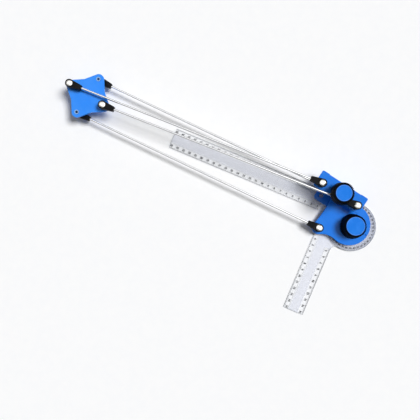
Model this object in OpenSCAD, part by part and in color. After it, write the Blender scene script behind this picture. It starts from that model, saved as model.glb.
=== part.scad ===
// Folding drafting machine: two pairs of parallel rods carry a protractor head and its square
// from a clamp on the edge of a drawing board. It is modelled folded, as it lies on a table.
// The origin is on the upper face of the clamp's lower jaw, under the clamp screw. +X runs along
// the clamp, +Y towards its closed back, +Z up.

/* [Arms] */
// Length of every rod from pivot to pivot
rod_span = 400; // [300:5:500]
// Diameter of the steel rods
rod_d = 3.2; // [2.6:0.1:3.6]
// Distance between the two pivots of each pair
pivot_pitch = 59; // [55:0.5:66]
// Where the folded head's pivots lie from the clamp's, along the clamp
fold_x = 4.4; // [2:0.1:7]
// Where the folded head's pivots lie from the clamp's, towards the mouth
fold_y = -25.8; // [-32:0.1:-25]

/* [Rod ends] */
// Diameter of the moulded eye
eye_d = 12; // [11.6:0.1:13.6]
// Height of the moulded eye
eye_h = 9; // [7.5:0.1:11]
// Distance from the pivot to the flat face where the rod goes in
rod_end_len = 18.5; // [16:0.5:20.5]
// Width at that flat face
rod_end_tip_w = 7; // [6:0.1:9]
// Height at that flat face
rod_end_tip_h = 7; // [6:0.1:7.4]
// Depth of the socket that holds the rod
socket_depth = 8.5; // [6:0.5:9.5]
// Diameter of the pivot pins
pin_d = 5; // [4.6:0.1:5.6]

/* [Pivot screws] */
// Diameter of the domed screw heads
screw_head_d = 9.6; // [8.6:0.1:10]
// Height of the domed screw heads
screw_head_h = 1.8; // [1.4:0.1:2.2]
// Depth of the recess that the head sits in
head_recess = 1; // [0.5:0.1:1.2]
// Diameter of the thread below the pin
thread_d = 4; // [3:0.1:4.4]
// Thickness of the plain washers
washer_t = 0.5; // [0.3:0.1:1]
// Thickness of the nylon spacers at the elbow
spacer_t = 2.9; // [2.8:0.1:5]

/* [Elbow plate] */
// Thickness of the elbow plate
elbow_t = 4; // [3:0.1:6]
// Radius of the four lobes
elbow_lobe_r = 8; // [7:0.1:10]
// How far each side dips in between two lobes
elbow_waist = 3; // [1:0.1:4]
// Diameter of the rolled heads of the two hollow rivets
rivet_head_d = 7.4; // [6.6:0.1:9]
// Bore of the hollow rivets
rivet_bore_d = 2.7; // [2:0.1:3.2]

/* [Clamp] */
// Thickness of the clamp's sheet steel
sheet_t = 2; // [1.5:0.1:2.4]
// Distance from a pivot to the nearest end of the top plate
plate_end = 9; // [8:0.5:12]
// Distance from the pivots to the front edge of the top plate
plate_front = 9; // [7.5:0.1:9.5]
// Length of the lower jaw and the back wall
jaw_len = 54; // [46:1:58]
// Distance that the lower jaw reaches out from the inside of the back wall
jaw_reach = 36.5; // [32:0.5:40]
// Radius of the jaw's front corners
jaw_corner_r = 5.5; // [3:0.5:10]
// Inside radius of the two bends
bend_r = 1.5; // [1:0.1:2.5]
// Diameter of the two fixing holes in the jaw
jaw_hole_d = 6.5; // [4:0.1:7]
// Distance between the two fixing holes
jaw_hole_pitch = 36; // [30:1:38]
// Distance from a fixing hole to the jaw's front edge
jaw_hole_inset = 9; // [7:0.5:12]

/* [Clamp screw] */
// Diameter of the clamp screw
clamp_screw_d = 6; // [5:0.1:6.6]
// Distance that the clamp screw can still go down when the arms are folded
screw_travel = 4.2; // [2:0.1:4.4]
// Diameter of the pressure pad
pad_d = 13; // [10:0.5:16]
// Thickness of the pressure pad
pad_t = 1.6; // [1.5:0.1:1.8]
// Diameter of the threaded bush's flange
clamp_bush_flange_d = 13; // [12:0.1:13.4]
// Diameter of its barrel in the top plate
clamp_bush_barrel_d = 10; // [9:0.1:11]

/* [Clamp knob] */
// Radius at the foot of the clamp knob
clamp_knob_r = 16.4; // [15:0.1:19]
// Radius at the top of the clamp knob
clamp_knob_top_r = 14.8; // [14:0.1:15.8]
// Height of the clamp knob
clamp_knob_h = 18; // [16:0.5:24]
// Radius of its coloured cap
clamp_cap_r = 11.5; // [9:0.1:12.4]
// Number of teeth
clamp_knob_teeth = 40; // [30:1:48]

/* [Head plate] */
// Thickness of the head plate's top wall
head_wall = 2.2; // [1.6:0.1:2.4]
// Height of its rim where it passes over the jaw
head_rim_h = 3.6; // [3:0.1:4.5]
// Depth of the skirt below that rim
skirt_drop = 2.4; // [1:0.1:2.5]
// Wall thickness of the rim and skirt
skirt_wall = 2; // [1.2:0.1:3]
// Radius of the lobe round each head pivot
head_lobe_r = 9.2; // [8.5:0.1:10.5]
// Distance from the pivot line to the edge, halfway between the lobes
head_waist = 7.2; // [6:0.1:8]
// Distance from the pivot line to the hub
hub_offset = 40; // [39:0.5:46]
// Distance from the pivot line to the centre of the round part
round_offset = 35; // [33:0.5:42]
// Radius of the round part
round_r = 31; // [28:0.5:33]
// Radius of the hollow curve between a lobe and the round part
web_r = 28; // [14:0.5:40]
// Width of the index slit in the round part's edge
index_w = 0.8; // [0.4:0.1:1.5]

/* [Head knob] */
// Radius at the foot of the head knob
head_knob_r = 18.6; // [17.5:0.1:19.5]
// Radius at the top of the head knob
head_knob_top_r = 16; // [15.4:0.1:16.6]
// Height of the head knob
head_knob_h = 20; // [18:0.5:20.5]
// Radius of its coloured cap
head_cap_r = 13.5; // [11:0.1:13.8]
// Number of teeth
head_knob_teeth = 46; // [30:1:52]
// Diameter of the hub stud
stud_d = 8; // [6:0.1:9]
// Radius of the stud's flange
flange_r = 17; // [16:0.5:22]
// Thickness of the stud's flange
flange_t = 1.4; // [1:0.1:1.5]

/* [Square and protractor] */
// Angle of the folded square to the clamp
scale_fold = 10.4; // [5:0.1:20]
// Length of the long blade along its inner edge
long_blade = 254; // [200:1:300]
// Length of the short blade along its inner edge
short_blade = 154; // [120:1:200]
// Width of both blades
blade_w = 31.3; // [28:0.1:34]
// Thickness of the blades
blade_t = 2.2; // [2:0.1:3]
// Thickness left at the bevelled edges
blade_edge_t = 0.9; // [0.6:0.1:1.2]
// Width of each bevel
bevel_w = 8.7; // [6:0.1:9]
// Distance from the hub back to the inner corner
corner_back = 46; // [44:0.5:50]
// Distance from the hub across to the inner corner
corner_side = 3.4; // [0:0.1:5]
// Radius of the protractor disc
dial_r = 36.8; // [35:0.1:40]
// Thickness of the protractor disc
dial_t = 1.6; // [1.2:0.1:2]

/* [Hidden] */
$fn = 64;

// Clearances, and the small step that a cut runs past a face
play = 0.1;
pin_clear = 0.05;
seat_clear = 0.02;
open_clear = 0.25;
cut = 1;

// Length of the straight stretches that stand for an outline's arc
arc_step = 1.5;

// Colours
blue = "#2f7fe8";
black = "#17181a";
nickel = "#d9dbde";
steel = "#b4b8bd";
brass = "#b9975a";
nylon = "#ecebe4";
acrylic = [0.80, 0.87, 0.95, 0.45];

// The folded arms: each pair's angle to the clamp follows from the rods' length and the place of
// the folded head
fold_dist = norm([fold_x, fold_y]);
fold_mean = atan2(fold_y, fold_x) + 90;
fold_half = asin(fold_dist / (2 * rod_span));
clamp_arm_angle = fold_mean + fold_half;
head_arm_angle = fold_mean - fold_half;
elbow_at = -rod_span * [cos(clamp_arm_angle), sin(clamp_arm_angle)];
head_at = [fold_x, fold_y];
half_pitch = pivot_pitch / 2;

// Heights above the jaw's upper face
head_lift = 0.6;
head_top = head_lift + head_rim_h;
skirt_z = head_lift - skirt_drop;
low_eye_z = head_top + washer_t + play;
elbow_z = low_eye_z + eye_h + play + spacer_t;
elbow_top = elbow_z + elbow_t;
high_eye_z = elbow_top + spacer_t + play;
bracket_top = high_eye_z - play - washer_t;
mouth_h = bracket_top - sheet_t;

// Heights below the jaw, down to the table
dial_gap = 0.6;
dial_top = -sheet_t - dial_gap;
blade_top = dial_top - dial_t;
table_z = blade_top - blade_t;

// Rod ends
eye_r = eye_d / 2;
screw_seat = eye_h - head_recess + play;

// Nuts and rivets of the pivots
nut_h = 2.4;
nut_af = 7;
rivet_flange_t = head_recess - 2 * play;
rivet_roll_h = 0.7;

// Clamp
back_room = 2.6;
back_y = fold_y + half_pitch + head_lobe_r + back_room;
plate_len = pivot_pitch + 2 * plate_end;
plate_corner_r = 2;
ear_len = (plate_len - jaw_len) / 2;
jaw_front = back_y - jaw_reach;
outer_bend_r = bend_r + sheet_t;

// Clamp screw and its knob
pad_top = mouth_h - 2 * play;
tip_d = 4;
tip_depth = 1.1;
bush_rod_gap = 0.7;
clamp_bush_top = high_eye_z + (eye_h - rod_d) / 2 - bush_rod_gap;
knob_rod_gap = 0.6;
clamp_knob_z = high_eye_z + eye_h + screw_travel + knob_rod_gap;

// Knobs
insert_wall = 2.6;
clamp_insert_h = 11;
head_insert_h = 14;
insert_room = 0.5;
tooth_depth = 1.4;
knob_edge = 0.8;
knob_wall = 2.2;
knob_roof = 4;
knob_ribs = 6;
knob_rib_t = 1.6;
cap_t = 1.4;
cap_proud = 0.3;
cap_rim = 0.9;

// Head plate
jaw_gap = 1.5;
boss_wall = 2;
boss_ribs = 6;
boss_rib_t = 1.6;
index_len = 5;
bush_wall = 3;
bush_flange_r = 9;
bush_flange_t = 0.6;
bush_r = stud_d / 2 + bush_wall;

// Hub
thrust_r = 12;
thrust_t = 0.8;
thrust_z = head_top + bush_flange_t + play;
head_knob_z = thrust_z + thrust_t + play;
flange_z = table_z + play;
hub_screw_d = 2.5;
hub_screw_head_d = 4.4;
hub_screw_head_h = 0.8;
hub_screw_r = 13.5;
hub_screw_count = 4;

// Square
inner_corner = [-corner_back, corner_side];
outer_corner = inner_corner + [blade_w, blade_w];
outer_corner_r = 3;
hub_fillet_r = 8;
hub_fillet_x = outer_corner.x + hub_fillet_r;
hub_fillet_y = -sqrt(pow(dial_r + hub_fillet_r, 2) - pow(hub_fillet_x, 2));

// Point where the line from p touches a circle; side picks one of the two
function touch(centre, r, p, side) =
    let (to = p - centre, a = atan2(to.y, to.x) + side * acos(r / norm(to)))
    centre + r * [cos(a), sin(a)];

// Centre of the circle of radius r that touches two circles from outside, on the right of p to q
function outer_centre(p, p_r, q, q_r, r) =
    let (d = norm(q - p), u = (q - p) / d,
         along = (pow(p_r + r, 2) - pow(q_r + r, 2) + d * d) / (2 * d),
         aside = sqrt(pow(p_r + r, 2) - along * along))
    p + along * u + aside * [u.y, -u.x];

// Direction from p to q
function aim(p, q) = atan2(q.y - p.y, q.x - p.x);

// Points along an arc, without its last one, where the next stretch of an outline starts
function arc(centre, r, from, to) =
    let (n = max(3, ceil(r * abs(to - from) * PI / 180 / arc_step)))
    [for (i = [0 : n - 1]) let (a = from + (to - from) * i / n) centre + r * [cos(a), sin(a)]];

// Places

module at_clamp_pivots() {
    for (side = [-1, 1]) translate([side * half_pitch, 0, 0]) children();
}

module at_elbow_upper() {
    translate([elbow_at.x, elbow_at.y, 0]) at_clamp_pivots() children();
}

module at_elbow_lower() {
    translate([elbow_at.x, elbow_at.y, 0])
        for (side = [-1, 1]) translate([0, side * half_pitch, 0]) children();
}

module at_head() {
    translate([head_at.x, head_at.y, 0]) children();
}

module at_head_pivots() {
    at_head() for (side = [-1, 1]) translate([0, side * half_pitch, 0]) children();
}

module at_hub() {
    at_head() translate([hub_offset, 0, 0]) children();
}

module at_square() {
    at_hub() rotate(scale_fold) children();
}

module at_hub_screws() {
    for (i = [0 : hub_screw_count - 1]) rotate(45 + i * 360 / hub_screw_count)
        translate([hub_screw_r, 0, 0]) children();
}

// Plain shapes

module bore(r, h) {
    translate([0, 0, -cut]) cylinder(r = r, h = h + 2 * cut);
}

module ring(outer_r, inner_r, h) {
    difference() {
        cylinder(r = outer_r, h = h);
        bore(inner_r, h);
    }
}

module hex_nut(across_flats, bore_r, h) {
    difference() {
        cylinder(d = across_flats / cos(30), h = h, $fn = 6);
        bore(bore_r, h);
    }
}

// What rounding takes off an outside corner at the origin that points to +X +Y
module corner(r) {
    translate([-r, -r]) difference() {
        square(r + cut);
        circle(r);
    }
}

// The same through a sheet, for a corner that points to +X and to the given side of Y
module corner_cutter(r, y_side, h) {
    translate([0, 0, -cut]) linear_extrude(h + 2 * cut) mirror([0, y_side < 0 ? 1 : 0]) corner(r);
}

// Rod ends and rods

// Moulded eye with a tapered neck along +X, its lower face at z = 0
module rod_end(bore_r) {
    tip = [rod_end_len, rod_end_tip_w / 2];
    shoulder = touch([0, 0], eye_r, tip, 1);
    tip_step = (eye_h - rod_end_tip_h) / 2;
    difference() {
        intersection() {
            linear_extrude(eye_h) union() {
                circle(eye_r);
                polygon([
                    [0, 0], [shoulder.x, -shoulder.y], [tip.x, -tip.y], tip, shoulder
                ]);
            }
            translate([0, eye_d, 0]) rotate([90, 0, 0]) linear_extrude(2 * eye_d) polygon([
                [-eye_r - cut, 0], [eye_r, 0], [tip.x, tip_step],
                [tip.x, eye_h - tip_step], [eye_r, eye_h], [-eye_r - cut, eye_h]
            ]);
        }
        bore(bore_r, eye_h);
        translate([0, 0, eye_h - head_recess])
            cylinder(d = screw_head_d + 4 * play, h = head_recess + cut);
        translate([rod_end_len - socket_depth, 0, eye_h / 2]) rotate([0, 90, 0])
            cylinder(d = rod_d + 2 * seat_clear, h = socket_depth + cut);
    }
}

module rod(z) {
    start = rod_end_len - socket_depth + play;
    color(steel) translate([start, 0, z + eye_h / 2]) rotate([0, 90, 0])
        cylinder(d = rod_d, h = rod_span - 2 * start);
}

// Both rod pairs start at the elbow: one runs to the clamp, the other to the head
module on_clamp_rod(side) {
    translate([elbow_at.x + side * half_pitch, elbow_at.y, 0]) rotate(clamp_arm_angle) children();
}

module on_head_rod(side) {
    translate([elbow_at.x, elbow_at.y + side * half_pitch, 0]) rotate(head_arm_angle) children();
}

module near_end(z, clear) {
    color(black) translate([0, 0, z]) rod_end(pin_d / 2 + clear);
}

// The lower rods hang from the elbow plate, so their ends there are the other way up
module hanging_end(z, clear) {
    color(black) translate([0, 0, z + eye_h]) mirror([0, 0, 1]) rod_end(pin_d / 2 + clear);
}

module far_end(z, clear) {
    color(black) translate([rod_span, 0, z]) rotate(180) rod_end(pin_d / 2 + clear);
}

module clamp_rod_a() { on_clamp_rod(-1) rod(high_eye_z); }
module clamp_rod_a_clamp_end() { on_clamp_rod(-1) far_end(high_eye_z, pin_clear); }
module clamp_rod_a_elbow_end() { on_clamp_rod(-1) near_end(high_eye_z, pin_clear); }
module clamp_rod_b() { on_clamp_rod(1) rod(high_eye_z); }
module clamp_rod_b_clamp_end() { on_clamp_rod(1) far_end(high_eye_z, pin_clear); }
module clamp_rod_b_elbow_end() { on_clamp_rod(1) near_end(high_eye_z, open_clear); }
module head_rod_a() { on_head_rod(-1) rod(low_eye_z); }
module head_rod_a_elbow_end() { on_head_rod(-1) hanging_end(low_eye_z, pin_clear); }
module head_rod_a_head_end() { on_head_rod(-1) far_end(low_eye_z, pin_clear); }
module head_rod_b() { on_head_rod(1) rod(low_eye_z); }
module head_rod_b_elbow_end() { on_head_rod(1) hanging_end(low_eye_z, pin_clear); }
module head_rod_b_head_end() { on_head_rod(1) far_end(low_eye_z, open_clear); }

// Pivot screws, washers and spacers

// Domed head with a cross recess, plain pin, then a thinner thread; the pin's foot is at z = 0
module pivot_screw(pin_h, thread_len) {
    brim = 0.4;
    dome_h = screw_head_h - brim;
    dome_r = (pow(dome_h, 2) + pow(screw_head_d / 2, 2)) / (2 * dome_h);
    slot = [0.46 * screw_head_d, 0.9];
    difference() {
        union() {
            translate([0, 0, -thread_len]) cylinder(d = thread_d, h = thread_len + cut);
            cylinder(d = pin_d, h = pin_h + brim);
            translate([0, 0, pin_h]) cylinder(d = screw_head_d, h = brim);
            translate([0, 0, pin_h + brim]) intersection() {
                cylinder(d = screw_head_d, h = dome_h);
                translate([0, 0, dome_h - dome_r]) sphere(dome_r);
            }
        }
        for (turn = [0, 90]) rotate(turn + 20) translate([-slot.x / 2, -slot.y / 2, pin_h + dome_h / 2])
            cube([slot.x, slot.y, screw_head_h]);
    }
}

module pivot_washer() {
    ring(eye_r - 1, pin_d / 2 + seat_clear, washer_t);
}

module pivot_spacer() {
    ring(eye_r - 1, pin_d / 2 + seat_clear, spacer_t);
}

// Clamp

// Side view of a bar that fills y = front to back and z = low to high, rounded at the back
module round_backed(front, back, low, high, r) {
    translate([front, low]) square([back - r - front, high - low]);
    translate([front, low + r]) square([back - front, high - low - 2 * r]);
    for (z = [low + r, high - r]) translate([back - r, z]) circle(r);
}

// Side view of the bent sheet: jaw, back wall and the part of the top plate above the jaw
module clamp_section() {
    difference() {
        round_backed(jaw_front, back_y + sheet_t, -sheet_t, bracket_top, outer_bend_r);
        round_backed(jaw_front - cut, back_y, 0, mouth_h, bend_r);
        translate([jaw_front - cut, mouth_h - cut])
            square([-plate_front - jaw_front + cut, sheet_t + 2 * cut]);
    }
}

// Top plate, with an ear past each end of the jaw that carries a pivot
module top_plate() {
    translate([-plate_len / 2, -plate_front, mouth_h])
        cube([plate_len, plate_front + back_y - bend_r, sheet_t]);
    for (x = [-plate_len / 2, jaw_len / 2]) translate([x, 0, mouth_h])
        cube([ear_len, back_y + sheet_t, sheet_t]);
}

module clamp_bracket() {
    color(blue) difference() {
        union() {
            translate([-jaw_len / 2, 0, 0]) rotate([90, 0, 90]) linear_extrude(jaw_len)
                clamp_section();
            top_plate();
        }
        for (flip = [0, 1]) mirror([flip, 0, 0]) {
            translate([plate_len / 2, -plate_front, mouth_h])
                corner_cutter(plate_corner_r, -1, sheet_t);
            translate([plate_len / 2, back_y + sheet_t, mouth_h])
                corner_cutter(plate_corner_r, 1, sheet_t);
            translate([jaw_len / 2, jaw_front, -sheet_t])
                corner_cutter(jaw_corner_r, -1, sheet_t);
            translate([jaw_hole_pitch / 2, jaw_front + jaw_hole_inset, -sheet_t])
                bore(jaw_hole_d / 2, sheet_t);
            translate([half_pitch, 0, mouth_h]) bore(thread_d / 2 + seat_clear, sheet_t);
        }
        translate([0, 0, mouth_h]) bore(clamp_bush_barrel_d / 2 + seat_clear, sheet_t);
    }
}

module clamp_bush() {
    color(steel) difference() {
        union() {
            translate([0, 0, mouth_h]) cylinder(d = clamp_bush_barrel_d, h = sheet_t + play);
            translate([0, 0, bracket_top])
                cylinder(d = clamp_bush_flange_d, h = clamp_bush_top - bracket_top);
        }
        translate([0, 0, mouth_h]) bore(clamp_screw_d / 2 + pin_clear, clamp_bush_top - mouth_h);
    }
}

module clamp_pivot_screws() {
    color(nickel) at_clamp_pivots() translate([0, 0, bracket_top])
        pivot_screw(washer_t + play + screw_seat, sheet_t + nut_h);
}

module clamp_pivot_washers() {
    color(steel) at_clamp_pivots() translate([0, 0, bracket_top]) pivot_washer();
}

module clamp_pivot_nuts() {
    color(steel) at_clamp_pivots() translate([0, 0, mouth_h - nut_h])
        hex_nut(nut_af, thread_d / 2 + seat_clear, nut_h);
}

// Clamp screw and pad

module pressure_pad() {
    edge = 0.5;
    color(steel) difference() {
        translate([0, 0, pad_top - pad_t]) rotate_extrude() polygon([
            [0, 0], [pad_d / 2 - edge, 0], [pad_d / 2, edge], [pad_d / 2, pad_t], [0, pad_t]
        ]);
        translate([0, 0, pad_top - tip_depth - play])
            cylinder(r = tip_d / 2 + pin_clear, h = tip_depth + play + cut);
    }
}

module clamp_screw() {
    foot = pad_top + play;
    color(steel) {
        translate([0, 0, foot])
            cylinder(d = clamp_screw_d, h = clamp_knob_z + clamp_insert_h - insert_room - foot);
        translate([0, 0, pad_top - tip_depth]) cylinder(d = tip_d, h = tip_depth + 2 * play);
    }
}

// Knobs

// Moulded knob, its foot at z = 0: a toothed, slightly tapered skirt round a core, hollow below,
// with ribs between the skirt and the core
module knob_body(foot_r, top_r, h, teeth, cap_r, stem_r, insert_h) {
    gap_w = 0.42 * PI * (foot_r + top_r) / teeth;
    lean = atan2(foot_r - top_r, h);
    pocket_r = top_r - tooth_depth - knob_wall;
    core_r = stem_r + insert_wall + knob_wall;
    difference() {
        rotate_extrude() polygon([
            [0, 0], [foot_r, 0], [top_r, h - knob_edge], [top_r - knob_edge, h], [0, h]
        ]);
        for (i = [0 : teeth - 1]) rotate(i * 360 / teeth)
            translate([foot_r - tooth_depth, -gap_w / 2, 0]) rotate([0, -lean, 0])
                translate([0, 0, -2 * cut]) cube([4 * tooth_depth, gap_w, h + 5 * cut]);
        difference() {
            translate([0, 0, -cut]) ring(pocket_r, core_r, h - knob_roof + cut);
            for (i = [0 : knob_ribs - 1]) rotate((i + 0.25) * 360 / knob_ribs)
                translate([core_r - cut, -knob_rib_t / 2, knob_wall])
                    cube([pocket_r - core_r + 2 * cut, knob_rib_t, h]);
        }
        translate([0, 0, -cut]) cylinder(r = stem_r + insert_wall + seat_clear, h = insert_h + cut);
        translate([0, 0, h - cap_t + cap_proud]) cylinder(r = cap_r + seat_clear, h = cap_t + cut);
    }
}

// Disc with a narrow raised rim that fills the knob's top
module knob_cap(r, h) {
    edge = 0.3;
    translate([0, 0, h - cap_t + cap_proud]) difference() {
        rotate_extrude() polygon([[0, 0], [r, 0], [r, cap_t - edge], [r - edge, cap_t], [0, cap_t]]);
        translate([0, 0, cap_t - edge]) cylinder(r = r - cap_rim, h = edge + cut);
    }
}

// Threaded insert with a groove that locks it in the moulding
module knob_insert(stem_r, h) {
    difference() {
        ring(stem_r + insert_wall, stem_r + seat_clear, h);
        translate([0, 0, h / 2]) ring(stem_r + insert_wall + cut, stem_r + insert_wall - 0.5, 1);
    }
}

module clamp_knob() {
    color(black) translate([0, 0, clamp_knob_z])
        knob_body(clamp_knob_r, clamp_knob_top_r, clamp_knob_h, clamp_knob_teeth, clamp_cap_r,
                  clamp_screw_d / 2, clamp_insert_h);
}

module clamp_knob_insert() {
    color(brass) translate([0, 0, clamp_knob_z]) knob_insert(clamp_screw_d / 2, clamp_insert_h);
}

module clamp_knob_cap() {
    color(blue) translate([0, 0, clamp_knob_z]) knob_cap(clamp_cap_r, clamp_knob_h);
}

module head_knob() {
    color(black) at_hub() translate([0, 0, head_knob_z])
        knob_body(head_knob_r, head_knob_top_r, head_knob_h, head_knob_teeth, head_cap_r,
                  stud_d / 2, head_insert_h);
}

module head_knob_insert() {
    color(brass) at_hub() translate([0, 0, head_knob_z]) knob_insert(stud_d / 2, head_insert_h);
}

module head_knob_cap() {
    color(blue) at_hub() translate([0, 0, head_knob_z]) knob_cap(head_cap_r, head_knob_h);
}

// Elbow

// Plan of the plate: four lobes, with sides that run straight from each lobe to a shallow waist
module elbow_outline() {
    side = half_pitch / sqrt(2);
    waist = [side + elbow_lobe_r - elbow_waist, 0];
    shoulder = touch([side, side], elbow_lobe_r, waist, 1);
    for (turn = [0 : 90 : 270]) rotate(turn) {
        translate([half_pitch, 0]) circle(elbow_lobe_r);
        rotate(45) polygon([
            [0, 0], [side, -side], [shoulder.x, -shoulder.y], waist, shoulder, [side, side]
        ]);
    }
}

module elbow_plate() {
    color(blue) difference() {
        translate([elbow_at.x, elbow_at.y, elbow_z]) linear_extrude(elbow_t) elbow_outline();
        at_elbow_upper() translate([0, 0, elbow_z]) bore(thread_d / 2 + seat_clear, elbow_t);
        at_elbow_lower() translate([0, 0, elbow_z]) bore(pin_d / 2 + seat_clear, elbow_t);
    }
}

module elbow_screws() {
    color(nickel) at_elbow_upper() translate([0, 0, elbow_top])
        pivot_screw(spacer_t + play + screw_seat, elbow_t + nut_h);
}

module elbow_nuts() {
    color(steel) at_elbow_upper() translate([0, 0, elbow_z - nut_h])
        hex_nut(nut_af, thread_d / 2 + seat_clear, nut_h);
}

module elbow_upper_spacers() {
    color(nylon) at_elbow_upper() translate([0, 0, elbow_top]) pivot_spacer();
}

module elbow_lower_spacers() {
    color(nylon) at_elbow_lower() translate([0, 0, elbow_z - spacer_t]) pivot_spacer();
}

// Hollow rivets: a flat flange in the eye's recess below, a rolled head on the plate above
module elbow_rivets() {
    foot = low_eye_z + play;
    neck_h = elbow_top - foot;
    roll_r = rivet_head_d / 2;
    bore_r = rivet_bore_d / 2;
    color(nickel) at_elbow_lower() translate([0, 0, foot]) rotate_extrude() polygon([
        [bore_r, 0], [screw_head_d / 2, 0], [screw_head_d / 2, rivet_flange_t],
        [pin_d / 2, rivet_flange_t], [pin_d / 2, neck_h], [roll_r, neck_h],
        [roll_r - rivet_roll_h / 2, neck_h + rivet_roll_h],
        [bore_r + rivet_roll_h, neck_h + rivet_roll_h], [bore_r, neck_h]
    ]);
}

// Head

// Plan of the head plate, drawn in from its edge by the inset: two lobes, a round part and the
// hollow curves that join them
module head_outline(inset) {
    lobe = [0, -half_pitch];
    disc = [round_offset, 0];
    waist_r = (pow(half_pitch, 2) + pow(head_waist, 2) - pow(head_lobe_r, 2))
        / (2 * (head_lobe_r - head_waist));
    waist = [-head_waist - waist_r, 0];
    web = outer_centre(lobe, head_lobe_r, disc, round_r, web_r);
    half = concat(
        arc(waist, waist_r + inset, 0, aim(waist, lobe)),
        arc(lobe, head_lobe_r - inset, aim(lobe, waist), aim(lobe, web) + 360),
        arc(web, web_r + inset, aim(web, lobe), aim(web, disc)),
        arc(disc, round_r - inset, aim(disc, web), 0)
    );
    other_half = [for (i = [len(half) - 1 : -1 : 1]) [half[i].x, -half[i].y]];
    polygon(concat(half, [disc + [round_r - inset, 0]], other_half));
}

// What stays inside the head plate's hollow: a boss at each screw and at the hub, with ribs from
// the hub's boss to the rim
module head_bosses() {
    reach = round_r + round_offset - hub_offset;
    at_head_pivots() translate([0, 0, head_lift])
        cylinder(r = thread_d / 2 + boss_wall, h = head_rim_h);
    at_hub() translate([0, 0, head_lift]) {
        cylinder(r = bush_r + boss_wall, h = head_rim_h);
        for (i = [0 : boss_ribs - 1]) rotate((i + 0.5) * 360 / boss_ribs)
            translate([bush_r, -boss_rib_t / 2, play]) cube([reach, boss_rib_t, head_rim_h]);
    }
}

module head_plate() {
    color(blue) difference() {
        at_head() translate([0, 0, head_lift]) linear_extrude(head_rim_h) head_outline(0);
        difference() {
            at_head() translate([0, 0, head_lift - cut])
                linear_extrude(head_rim_h - head_wall + cut) head_outline(skirt_wall);
            head_bosses();
        }
        at_head_pivots() translate([0, 0, head_lift]) bore(thread_d / 2 + seat_clear, head_rim_h);
        at_hub() translate([0, 0, head_lift]) bore(bush_r + seat_clear, head_rim_h);
        at_head() translate([round_offset + round_r - index_len, -index_w / 2, head_lift - cut])
            cube([index_len + cut, index_w, head_rim_h + 2 * cut]);
    }
}

// Skirt that closes the plate's side down to the protractor, left out where the jaw passes
module head_skirt() {
    color(blue) difference() {
        at_head() translate([0, 0, skirt_z]) linear_extrude(skirt_drop) head_outline(0);
        at_head() translate([0, 0, skirt_z - cut])
            linear_extrude(skirt_drop + 2 * cut) head_outline(skirt_wall);
        translate([-jaw_len, jaw_front - jaw_gap, skirt_z - cut])
            cube([1.5 * jaw_len + jaw_gap, jaw_reach + jaw_gap + back_room, skirt_drop + 2 * cut]);
    }
}

module head_bush() {
    foot = dial_top + play;
    color(brass) at_hub() difference() {
        union() {
            translate([0, 0, foot]) cylinder(r = bush_r, h = head_top - foot + play);
            translate([0, 0, head_top]) cylinder(r = bush_flange_r, h = bush_flange_t);
        }
        translate([0, 0, foot]) bore(stud_d / 2 + pin_clear, head_top - foot);
    }
}

module head_pivot_screws() {
    color(nickel) at_head_pivots() translate([0, 0, head_top])
        pivot_screw(washer_t + play + screw_seat, head_rim_h - 2 * play);
}

module head_pivot_washers() {
    color(steel) at_head_pivots() translate([0, 0, head_top]) pivot_washer();
}

// Square and protractor

// Cutter for a bevel along +X, at an edge on the X axis of a blade that lies on its +Y side
module bevel(len) {
    slope = (blade_t - blade_edge_t) / bevel_w;
    rise = slope * cut;
    rotate([90, 0, 90]) linear_extrude(len) polygon([
        [-cut, blade_edge_t - rise], [bevel_w + cut, blade_t + rise], [-cut, blade_t + rise]
    ]);
}

module long_inner_bevel(extra) {
    translate([inner_corner.x - long_blade - cut, inner_corner.y, 0]) bevel(long_blade + cut + extra);
}

module short_inner_bevel(extra) {
    translate([inner_corner.x, inner_corner.y + extra, 0]) rotate(-90)
        bevel(short_blade + cut + extra);
}

module long_outer_bevel() {
    translate([inner_corner.x - long_blade - cut, outer_corner.y, 0]) mirror([0, 1, 0])
        bevel(long_blade + corner_back - dial_r + cut);
}

module short_outer_bevel() {
    translate([outer_corner.x, hub_fillet_y, 0]) rotate(-90) mirror([0, 1, 0])
        bevel(short_blade - inner_corner.y + hub_fillet_y + cut);
}

// Plan of the square: two blades that meet beside a round hub, rounded off into it
module square_outline() {
    fillet = [hub_fillet_x, hub_fillet_y];
    difference() {
        union() {
            translate([inner_corner.x - long_blade, inner_corner.y])
                square([long_blade + blade_w, blade_w]);
            translate([inner_corner.x, inner_corner.y - short_blade])
                square([blade_w, short_blade + blade_w]);
        }
        translate(outer_corner) corner(outer_corner_r);
    }
    circle(dial_r);
    polygon(concat(
        [[outer_corner.x - cut, hub_fillet_y]],
        arc(fillet, hub_fillet_r, 180, aim(fillet, [0, 0])),
        [fillet * dial_r / norm(fillet), [0, 0], [outer_corner.x - cut, 0]]
    ));
}

module l_square() {
    color(acrylic) at_square() translate([0, 0, table_z]) difference() {
        linear_extrude(blade_t) square_outline();
        long_inner_bevel(0);
        short_inner_bevel(0);
        intersection() {
            long_inner_bevel(bevel_w + cut);
            short_inner_bevel(bevel_w + cut);
        }
        long_outer_bevel();
        short_outer_bevel();
        bore(stud_d / 2 + seat_clear, blade_t);
        translate([0, 0, -cut]) cylinder(r = flange_r + seat_clear, h = flange_t + play + cut);
        at_hub_screws() bore(hub_screw_d / 2 + seat_clear, blade_t);
    }
}

module protractor() {
    edge = 0.4;
    color(acrylic) at_square() translate([0, 0, blade_top]) difference() {
        rotate_extrude() polygon([
            [0, 0], [dial_r, 0], [dial_r, dial_t - edge], [dial_r - edge, dial_t], [0, dial_t]
        ]);
        bore(stud_d / 2 + seat_clear, dial_t);
        at_hub_screws() {
            bore(hub_screw_d / 2 + seat_clear, dial_t);
            translate([0, 0, dial_t - hub_screw_head_h])
                cylinder(r = hub_screw_head_d / 2 + seat_clear, h = hub_screw_head_h + cut);
        }
    }
}

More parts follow.
